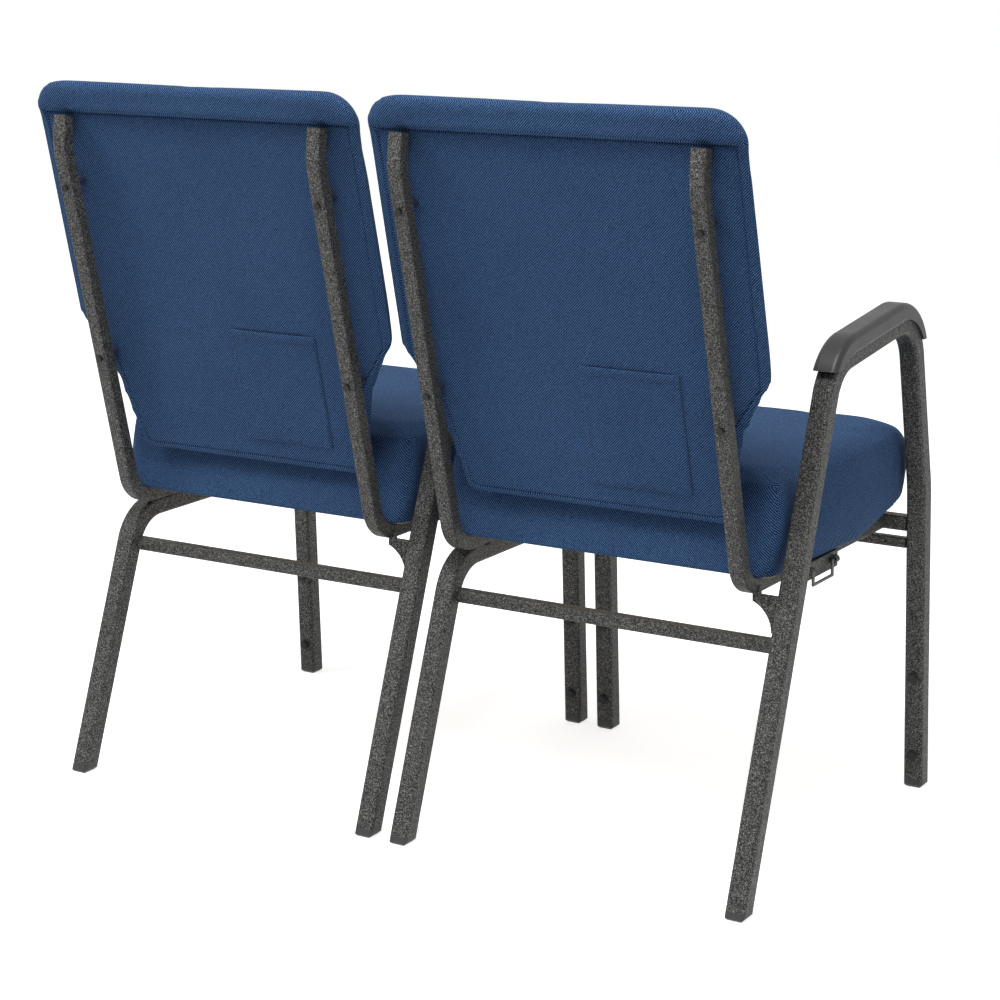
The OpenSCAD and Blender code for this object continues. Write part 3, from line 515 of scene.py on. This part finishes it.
def vein_paint():
    """Textured powder coat: silver flecks over dark pits, with a rippled skin."""
    f = finishes()
    m = Shader("silver_vein_paint")
    fine = m.noise(1300.0, 2.0, 0.6)
    broad = m.noise(480.0, 2.0, 0.5)
    mixed = m.math("ADD", m.math("MULTIPLY", fine, 0.72), m.math("MULTIPLY", broad, 0.28))
    flecks = m.ramp(mixed, [(0.42, f.paint_dark), (0.51, f.paint_mid), (0.62, f.paint_light)])
    m.set(Base_Color=flecks, Metallic=0.2, Roughness=m.span(mixed, 0.62, 0.34), Specular_IOR_Level=0.25)
    m.bump(mixed, 0.0009, 0.9)
    return m.material


def moulded_plastic(name, tint, rough_low, rough_high, grain=1400.0):
    """Moulded plastic with a fine grain and a slightly uneven shine."""
    m = Shader(name)
    fine = m.noise(grain, 2.0)
    worn = m.noise(38.0, 3.0)
    darker = tuple(c * 0.78 for c in tint[:3]) + (1.0,)
    m.set(Base_Color=m.mix(worn, tuple(tint), darker), Roughness=m.span(worn, rough_low, rough_high))
    m.bump(fine, 0.0002, 0.5)
    return m.material


def plywood():
    """Pale plywood with long grain and fine pores."""
    f = finishes()
    m = Shader("birch_plywood")
    stretched = m.stretched_place(14.0, 1.6, 160.0)
    grain = m.noise(5.0, 6.0, 0.6, stretched)
    pores = m.noise(700.0, 2.0)
    m.set(Base_Color=m.ramp(grain, [(0.35, tuple(f.wood_dark)), (0.62, tuple(f.wood_light))]), Roughness=0.72)
    m.bump(m.math("ADD", grain, m.math("MULTIPLY", pores, 0.3)), 0.0004, 0.4)
    return m.material


def bare_metal(name, tint, metallic, rough_low, rough_high):
    """Plated or blackened steel with fine scratches."""
    m = Shader(name)
    scratches = m.noise(300.0, 3.0, 0.6, m.stretched_place(1.0, 1.0, 9.0))
    tone = m.span(scratches, 0.8, 1.1)
    toned = m.mix(1.0, tuple(tint), m.grey(tone), "MULTIPLY")
    m.set(Base_Color=toned, Metallic=metallic, Roughness=m.span(scratches, rough_low, rough_high))
    m.bump(scratches, 0.0001, 0.4)
    return m.material


def material(name, make):
    """The named material, made once."""
    return bpy.data.materials.get(name) or make()


def finish_nodes(names, finish):
    """Gives CAD nodes of both chairs a finish through their material slots."""
    for chair in CHAIRS:
        for name in names:
            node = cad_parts[f"{name}_{chair}"]
            if not node.material_slots:
                node.data.materials.append(finish)
            for holder in node.material_slots:
                holder.material = finish


def cover_cloth():
    return material("navy_twill", twill_material)


# The pieces

def spacer_places(chair, plane):
    """Where the four spacers meet the rear panel, as x and s."""
    points = [plane.local(v.co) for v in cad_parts[f"post_spacers_{chair}"].data.vertices]
    places = []
    for side in (-1, 1):
        for high in (False, True):
            group = [p for p in points if p.x * side > 0 and (p.y > plane.length / 2) == high]
            places.append((sum(p.x for p in group) / len(group), sum(p.y for p in group) / len(group)))
    return places


def panel_surface(chair):
    """Closed cover of the rear panel, with rounded edges and dimples under the spacers."""
    z = sizes()
    plane = BackPlane(chair)
    half_width = panel_half_width(chair)
    spacers = spacer_places(chair, plane)
    steps = 96
    edge = [z.panel_round * part for part in (0.0, 0.15, 0.38, 0.7, 1.1)]
    margin = z.panel_round * 1.75

    def spread(low, high):
        inner = [low + margin + (high - low - 2 * margin) * i / steps for i in range(steps + 1)]
        return [low + e for e in edge] + inner + [high - e for e in reversed(edge)]

    def depth(x, s, inside):
        inside = min(inside, s, plane.length - s)
        if inside < z.panel_round:
            fall = z.panel_round - math.sqrt(max(0.0, z.panel_round ** 2 - (z.panel_round - inside) ** 2))
            return -fall - z.panel_crown
        swell = z.panel_crown * (min(1.0, (inside - z.panel_round) / z.crown_run) - 1)
        for spacer_x, spacer_s in spacers:
            swell -= z.dimple * math.exp(-(math.hypot(x - spacer_x, s - spacer_s) / z.dimple_run) ** 2)
        return swell

    form = bmesh.new()
    rows = []
    for s in spread(0.0, plane.length):
        wide = half_width(s)
        places = [plane.world(x, s, depth(x, s, wide - abs(x))) for x in spread(-wide, wide)]
        rows.append([form.verts.new(place) for place in places])
    for low, high in zip(rows, rows[1:]):
        for a, b, c, d in zip(low, low[1:], high[1:], high):
            form.faces.new((a, b, c, d))
    rim = [row[0] for row in rows] + rows[-1][1:-1] + [row[-1] for row in reversed(rows)]
    rim += list(reversed(rows[0][1:-1]))
    inner = []
    for vertex in rim:
        place = plane.local(vertex.co)
        inner.append(form.verts.new(plane.world(place.x, place.y, -z.panel_thick)))
    for i in range(len(rim)):
        j = (i + 1) % len(rim)
        form.faces.new((rim[i], rim[j], inner[j], inner[i]))
    form.faces.new(inner)
    bmesh.ops.recalc_face_normals(form, faces=form.faces)
    mesh = bpy.data.meshes.new("rear_panel_cover")
    form.to_mesh(mesh)
    form.free()
    weave_map(mesh, plane.local, plane.local_direction)
    return add_object(f"rear_panel_cover_{chair}", mesh)


def back_form():
    """The back cushion of the first chair with its head roll, with the recess for the boards filled."""
    z = sizes()
    plane = BackPlane(1)
    half_width = panel_half_width(1)
    form = copy_node("back_cushion_cover_1", "back_cushion_1")
    steps = 60
    over = 0.001
    rises = [plane.length * i / steps for i in range(steps + 1)]
    side = [(half_width(s) + over, s) for s in rises]
    side[0] = (side[0][0], -over)
    outline = side + [(-x, s) for x, s in reversed(side)]
    add_slab(form, plane, outline, -z.recess, -z.panel_crown)
    return form


def tuck_panel(thing, plane, half_width, depth):
    """Pushes the cushion in behind the rear panel and under the head roll, where the seam and crease show."""
    z = sizes()
    for vertex in thing.data.vertices:
        p = plane.local(vertex.co)
        if p.z < -z.seam_reach:
            continue
        beside = half_width(p.y) - abs(p.x)
        inside = min(beside, p.y, plane.length - p.y)
        if inside > -z.seam:
            sink = depth * min(1.0, (inside + z.seam) / (2 * z.seam))
        elif beside > -z.seam and 0 < p.y - plane.length < z.crease:
            sink = depth * (1 - (p.y - plane.length) / z.crease) ** 2 - z.roll_rise * (
                (p.y - plane.length) / z.crease)
        else:
            continue
        if p.z > -sink:
            vertex.co = plane.world(p.x, p.y, -sink)
    thing.data.update()


def wrap_board(thing):
    """Keeps the seat's cover just outside the edges of its board, and off the board's bare underside."""
    tree = node_tree("seat_board_1")
    wrap = sizes().wrap
    for vertex in thing.data.vertices:
        place, way, _, _ = tree.find_nearest(vertex.co, sizes().wrap_reach)
        if place is None or way.z > 0.9:
            continue
        if way.z < -0.5:
            vertex.co.z = max(vertex.co.z, place.z + wrap / 2)
        elif (vertex.co - place).dot(way) < wrap:
            vertex.co += way * (wrap - (vertex.co - place).dot(way))
    thing.data.update()


def copy_to_second(thing, name):
    """The same piece on the second chair."""
    first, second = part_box("seat_cushion_1")[0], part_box("seat_cushion_2")[0]
    mesh = thing.data.copy()
    mesh.transform(Matrix.Translation(second - first))
    return add_object(name, mesh)


def mouth_ease(across):
    """How far the pocket's cloth stands off the panel across its width, from 0 at its sides to 1."""
    edge = min(1.0, min(across, 1 - across) / 0.16)
    return edge * edge * (3 - 2 * edge)


def pocket_cloth(chair):
    """The pocket's cloth as one sheet that lies on the panel and stands off a little at its mouth."""
    z = sizes()
    plane = BackPlane(chair)
    wide, high = z.pocket_width, z.pocket_height
    steps_x, steps_s = 44, 50
    form = bmesh.new()
    grid = []
    for j in range(steps_s + 1):
        up = j / steps_s
        row = []
        for i in range(steps_x + 1):
            across = i / steps_x
            ease = mouth_ease(across)
            lift = z.cloth * 0.8 + z.pocket_bulge * ease * (0.25 + 0.75 * up ** 3) * min(1.0, up / 0.08)
            lift += 0.0003 * math.sin(across * 9.0 + up * 4.0) * ease
            place = plane.world(z.pocket_side + wide * across, z.pocket_low + high * up, lift)
            row.append(form.verts.new(place))
        grid.append(row)
    for low, top in zip(grid, grid[1:]):
        for a, b, c, d in zip(low, low[1:], top[1:], top):
            form.faces.new((a, b, c, d))
    mesh = bpy.data.meshes.new("card_pocket_cloth")
    form.to_mesh(mesh)
    form.free()
    cloth = add_object(f"card_pocket_cloth_{chair}", mesh)
    body = cloth.modifiers.new("thickness", "SOLIDIFY")
    body.thickness = z.cloth
    body.offset = 0.0
    apply_modifiers(cloth)
    weave_map(cloth.data, plane.local, plane.local_direction)
    return cloth


def strip(name, plane, points, width, thick):
    """A flat cloth strip along points given as x, s and d on the back, with a rounded face."""
    form = bmesh.new()
    rings = []
    for p, q in zip(points, points[1:] + points[-1:]):
        ring = []
        for share_across, rise in ((0.0, 0.0), (0.12, 0.8), (0.5, 1.0), (0.88, 0.8), (1.0, 0.0)):
            ring.append(form.verts.new(plane.world(p[0], p[1] - width * share_across, p[2] + thick * rise)))
        rings.append(ring)
    for a, b in zip(rings, rings[1:]):
        for i in range(len(a)):
            j = (i + 1) % len(a)
            form.faces.new((a[i], a[j], b[j], b[i]))
    form.faces.new(rings[0])
    form.faces.new(list(reversed(rings[-1])))
    bmesh.ops.recalc_face_normals(form, faces=form.faces)
    mesh = bpy.data.meshes.new(name)
    form.to_mesh(mesh)
    form.free()
    weave_map(mesh, plane.local, plane.local_direction)
    return add_object(name, mesh)


def stitch_row(form, plane, start, end, lift):
    """Adds a row of short raised stitches from start to end, given as x and s on the back."""
    z = sizes()
    run = math.dist(start, end)
    pitch = z.stitch * 1.45
    way = ((end[0] - start[0]) / run, (end[1] - start[1]) / run)
    side = (-way[1], way[0])
    half = z.stitch / 2
    thick = z.stitch_thick
    for i in range(int(run / pitch)):
        middle = (i + 0.5) * pitch
        ends = []
        for along, bulge in ((-half, 0.35), (-half * 0.5, 0.9), (half * 0.5, 0.9), (half, 0.35)):
            ring = []
            for k in range(6):
                turn = 2 * math.pi * k / 6
                x = start[0] + way[0] * (middle + along) + side[0] * thick * bulge * math.cos(turn)
                s = start[1] + way[1] * (middle + along) + side[1] * thick * bulge * math.cos(turn)
                ring.append(form.verts.new(plane.world(x, s, lift + thick * bulge * (0.4 + math.sin(turn)))))
            ends.append(ring)
        for a, b in zip(ends, ends[1:]):
            for k in range(6):
                form.faces.new((a[k], a[(k + 1) % 6], b[(k + 1) % 6], b[k]))
        form.faces.new(ends[0])
        form.faces.new(list(reversed(ends[-1])))


def mouth_line():
    """The upper edge of the pocket's hem, as x, s and d on the back."""
    z = sizes()
    steps = 40
    mouth = z.pocket_low + z.pocket_height + z.cloth * 0.75
    line = []
    for i in range(steps + 1):
        across = i / steps
        lift = z.cloth * 1.1 + z.pocket_bulge * mouth_ease(across)
        line.append((z.pocket_side + z.pocket_width * across, mouth, lift))
    return line


def pocket_stitches(chair):
    """Stitches down both sides and along the foot of the pocket."""
    z = sizes()
    plane = BackPlane(chair)
    margin = z.stitch_margin
    left, right = z.pocket_side + margin, z.pocket_side + z.pocket_width - margin
    low, top = z.pocket_low + margin, z.pocket_low + z.pocket_height - 0.001
    form = bmesh.new()
    lift = z.cloth * 1.35
    stitch_row(form, plane, (left, top), (left, low), lift)
    stitch_row(form, plane, (left, low), (right, low), lift)
    stitch_row(form, plane, (right, low), (right, top), lift)
    bmesh.ops.recalc_face_normals(form, faces=form.faces)
    mesh = bpy.data.meshes.new("card_pocket_stitches")
    form.to_mesh(mesh)
    form.free()
    return add_object(f"card_pocket_stitches_{chair}", mesh)


class SeatingOperator(bpy.types.Operator):
    """Shared base of the operators below."""

    bl_options = {"REGISTER", "UNDO"}

    def execute(self, context):
        self.make()
        return {"FINISHED"}


class SEATING_OT_frames(SeatingOperator):
    """Gives the tube frames, posts, plates and bails their textured paint and coating"""

    bl_idname = "seating.frames"
    bl_label = "Paint the frames"

    def make(self):
        f = finishes()
        finish_nodes(PAINTED_NODES, material("silver_vein_paint", vein_paint))
        rod = material("coated_rod", lambda: bare_metal("coated_rod", f.rod, 0.7, 0.3, 0.5))
        finish_nodes(ROD_NODES, rod)


class SEATING_OT_fittings(SeatingOperator):
    """Gives plugs, glides, bumpers, boards and screws their finishes, and the spacers a painted shade colour
    """

    bl_idname = "seating.fittings"
    bl_label = "Finish the fittings"

    def make(self):
        f = finishes()
        finish_nodes(PLASTIC_NODES, moulded_plastic("glide_plastic", f.black_plastic, 0.45, 0.62))
        # The spacers' colour is painted shade, the navy of the shadowed cloth beside the posts
        finish_nodes(SPACER_NODES, moulded_plastic("spacer_painted_shade", f.spacer, 0.6, 0.8))
        finish_nodes(RUBBER_NODES, moulded_plastic("bumper_rubber", f.rubber, 0.7, 0.9, 900.0))
        finish_nodes(("arm_pad",), moulded_plastic("armrest_plastic", f.plastic, 0.34, 0.5))
        finish_nodes(WOOD_NODES, plywood())
        finish_nodes(ZINC_NODES, bare_metal("zinc_plate", f.zinc, 1.0, 0.3, 0.5))
        finish_nodes(SCREW_NODES, bare_metal("black_screw", f.screw, 0.8, 0.35, 0.55))


class SEATING_OT_seat_cushions(SeatingOperator):
    """Makes the crowned, sewn seat cushions round their boards"""

    bl_idname = "seating.seat_cushions"
    bl_label = "Make the seat cushions"

    def make(self):
        z = sizes()
        points = [v.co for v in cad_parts["seat_cushion_1"].data.vertices]
        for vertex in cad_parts["seat_board_1"].data.vertices:
            points += [vertex.co + Vector((x, y, 0)) for x in (-z.wrap, z.wrap) for y in (-z.wrap, z.wrap)]
        cushion = hull_of("seat_cushion_cover_1", points)
        remesh(cushion, z.remesh, 3)
        plump(cushion, near_node(cushion, "seat_board_1", z.seat_held))
        divide(cushion)
        wrap_board(cushion)
        low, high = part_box("seat_cushion_1")
        middle = (low + high) / 2

        def flat_place(p):
            return Vector((p.x - middle.x, p.z - middle.z, p.y - middle.y))

        def flat_way(way):
            return Vector((way.x, way.z, way.y))

        weave_map(cushion.data, flat_place, flat_way)
        second = copy_to_second(cushion, "seat_cushion_cover_2")
        for chair, piece in zip(CHAIRS, (cushion, second)):
            dress(piece, "row", cover_cloth())
            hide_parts(f"seat_cushion_{chair}")


class SEATING_OT_back_cushions(SeatingOperator):
    """Makes the back cushions with their head rolls and drawn-in sides"""

    bl_idname = "seating.back_cushions"
    bl_label = "Make the back cushions"

    def make(self):
        z = sizes()
        plane = BackPlane(1)
        cushion = back_form()
        turn = plane.matrix()
        cushion.data.transform(turn.inverted())
        remesh(cushion, z.remesh, 6)
        cushion.data.transform(turn)
        plump(cushion, near_node(cushion, "rear_panel_1", z.back_held))
        divide(cushion)
        tuck_panel(cushion, plane, panel_half_width(1), z.panel_thick * 0.8)
        weave_map(cushion.data, plane.local, plane.local_direction)
        second = copy_to_second(cushion, "back_cushion_cover_2")
        for chair, piece in zip(CHAIRS, (cushion, second)):
            dress(piece, "row", cover_cloth())
            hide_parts(f"back_cushion_{chair}")


class SEATING_OT_rear_panels(SeatingOperator):
    """Makes the cloth-covered rear panels"""

    bl_idname = "seating.rear_panels"
    bl_label = "Make the rear panels"

    def make(self):
        for chair in CHAIRS:
            cover = panel_surface(chair)
            dress(cover, "row", cover_cloth())
            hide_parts(f"rear_panel_{chair}")


class SEATING_OT_card_pockets(SeatingOperator):
    """Makes the sewn card pockets on the rear panels"""

    bl_idname = "seating.card_pockets"
    bl_label = "Make the card pockets"

    def make(self):
        z, f = sizes(), finishes()
        thread = moulded_plastic("seam_thread", f.thread_colour, 0.7, 0.9, 2200.0)
        for chair in CHAIRS:
            plane = BackPlane(chair)
            cloth = pocket_cloth(chair)
            dress(cloth, "row", cover_cloth())
            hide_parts(f"card_pocket_{chair}")
            stitches = pocket_stitches(chair)
            dress(stitches, "row", thread)
            hem = strip(f"card_pocket_hem_{chair}", plane, mouth_line(), z.hem, z.cloth)
            dress(hem, "row", cover_cloth())


class SEATING_OT_stage(SeatingOperator):
    """Sets the floor, soft lamps, white surround and camera"""

    bl_idname = "seating.stage"
    bl_label = "Set the stage"

    def make(self):
        self.floor()
        self.world()
        self.lamps()
        self.camera()
        bpy.context.scene.view_settings.view_transform = "Standard"

    def floor(self):
        half = stage_values().floor_size / 2
        form = bmesh.new()
        bmesh.ops.create_grid(form, x_segments=8, y_segments=8, size=half)
        mesh = bpy.data.meshes.new("studio_floor")
        form.to_mesh(mesh)
        form.free()
        floor = add_object("studio_floor", mesh)
        m = Shader("studio_floor")
        tone = m.span(m.noise(3.0, 2.0), 0.9, 0.94)
        m.set(Base_Color=m.grey(tone), Roughness=0.9)
        path = m.node("ShaderNodeLightPath")
        seen = m.math("MAXIMUM", path.outputs["Is Camera Ray"], path.outputs["Is Glossy Ray"])
        seen = m.math("MAXIMUM", seen, path.outputs["Is Transmission Ray"])
        glow = m.math("MULTIPLY", seen, stage_values().floor_light)
        m.set(Emission_Color=(1.0, 1.0, 1.0, 1.0), Emission_Strength=glow)
        mesh.materials.append(m.material)

    def world(self):
        world = bpy.data.worlds.new("studio")
        world.use_nodes = True
        bpy.context.scene.world = world
        tree = world.node_tree
        back = tree.nodes["Background"]
        path = tree.nodes.new("ShaderNodeLightPath")
        seen = path.outputs["Is Camera Ray"]
        for ray in ("Is Glossy Ray", "Is Transmission Ray"):
            either = tree.nodes.new("ShaderNodeMath")
            either.operation = "MAXIMUM"
            tree.links.new(seen, either.inputs[0])
            tree.links.new(path.outputs[ray], either.inputs[1])
            seen = either.outputs[0]
        strength = tree.nodes.new("ShaderNodeMapRange")
        strength.inputs["To Min"].default_value = stage_values().sky
        strength.inputs["To Max"].default_value = 1.0
        tree.links.new(seen, strength.inputs["Value"])
        tree.links.new(strength.outputs["Result"], back.inputs["Strength"])
        back.inputs["Color"].default_value = (1.0, 1.0, 1.0, 1.0)

    def lamps(self):
        v = stage_values()
        for name, place, power, width in (
            ("key_lamp", Vector((2.6, 1.9, 3.2)), v.key, 0.9),
            ("top_lamp", Vector((-0.5, 1.2, 3.2)), v.top, 1.2),
            ("fill_lamp", Vector((-3.4, 0.6, 2.2)), v.fill, 2.4),
        ):
            light = bpy.data.lights.new(name, "AREA")
            light.shape = "SQUARE"
            light.size = width
            light.energy = power
            lamp = bpy.data.objects.new(name, light)
            bpy.context.scene.collection.objects.link(lamp)
            lamp.location = place
            aim = Vector((0.0, 0.0, 0.45)) - place
            lamp.rotation_euler = aim.to_track_quat("-Z", "Y").to_euler()

    def camera(self):
        v = stage_values()
        lens = bpy.data.cameras.new("photo_camera")
        lens.lens = v.lens
        lens.shift_x = v.shift_x
        lens.shift_y = v.shift_y
        lens.clip_start, lens.clip_end = 0.05, 60.0
        camera = bpy.data.objects.new("photo_camera", lens)
        bpy.context.scene.collection.objects.link(camera)
        turn, dip, roll = v.camera_turn, v.camera_dip, v.camera_roll
        ahead = Vector((math.sin(turn) * math.cos(dip), -math.cos(turn) * math.cos(dip), -math.sin(dip)))
        level = ahead.cross(Vector((0.0, 0.0, 1.0))).normalized()
        upright = level.cross(ahead)
        right = level * math.cos(roll) + upright * math.sin(roll)
        up = upright * math.cos(roll) - level * math.sin(roll)
        pose = Matrix((right, up, -ahead)).transposed().to_4x4()
        pose.translation = Vector(v.camera_place)
        camera.matrix_world = pose
        bpy.context.scene.camera = camera


class SEATING_PT_panel(bpy.types.Panel):
    """Lists the steps in the order in which they run"""

    bl_label = "Joined armchairs"
    bl_idname = "SEATING_PT_panel"
    bl_space_type = "VIEW_3D"
    bl_region_type = "UI"
    bl_category = "Seating"

    def draw(self, context):
        for step in STEPS:
            self.layout.operator(step.bl_idname)
        for group in ("seating_sizes", "seating_finishes", "seating_stage"):
            values = getattr(context.scene, group)
            box = self.layout.box()
            for name in values.__annotations__:
                box.prop(values, name)


STEPS = (
    SEATING_OT_frames, SEATING_OT_fittings, SEATING_OT_seat_cushions, SEATING_OT_back_cushions,
    SEATING_OT_rear_panels, SEATING_OT_card_pockets, SEATING_OT_stage,
)
GROUPS = (SeatingSizes, SeatingFinishes, SeatingStage)


def register():
    for group in GROUPS + STEPS + (SEATING_PT_panel,):
        bpy.utils.register_class(group)
    bpy.types.Scene.seating_sizes = PointerProperty(type=SeatingSizes)
    bpy.types.Scene.seating_finishes = PointerProperty(type=SeatingFinishes)
    bpy.types.Scene.seating_stage = PointerProperty(type=SeatingStage)


def unregister():
    del bpy.types.Scene.seating_stage
    del bpy.types.Scene.seating_finishes
    del bpy.types.Scene.seating_sizes
    for group in reversed(GROUPS + STEPS + (SEATING_PT_panel,)):
        bpy.utils.unregister_class(group)


def main():
    register()
    for step in STEPS:
        family, name = step.bl_idname.split(".")
        getattr(getattr(bpy.ops, family), name)()


if __name__ == "__main__":
    main()
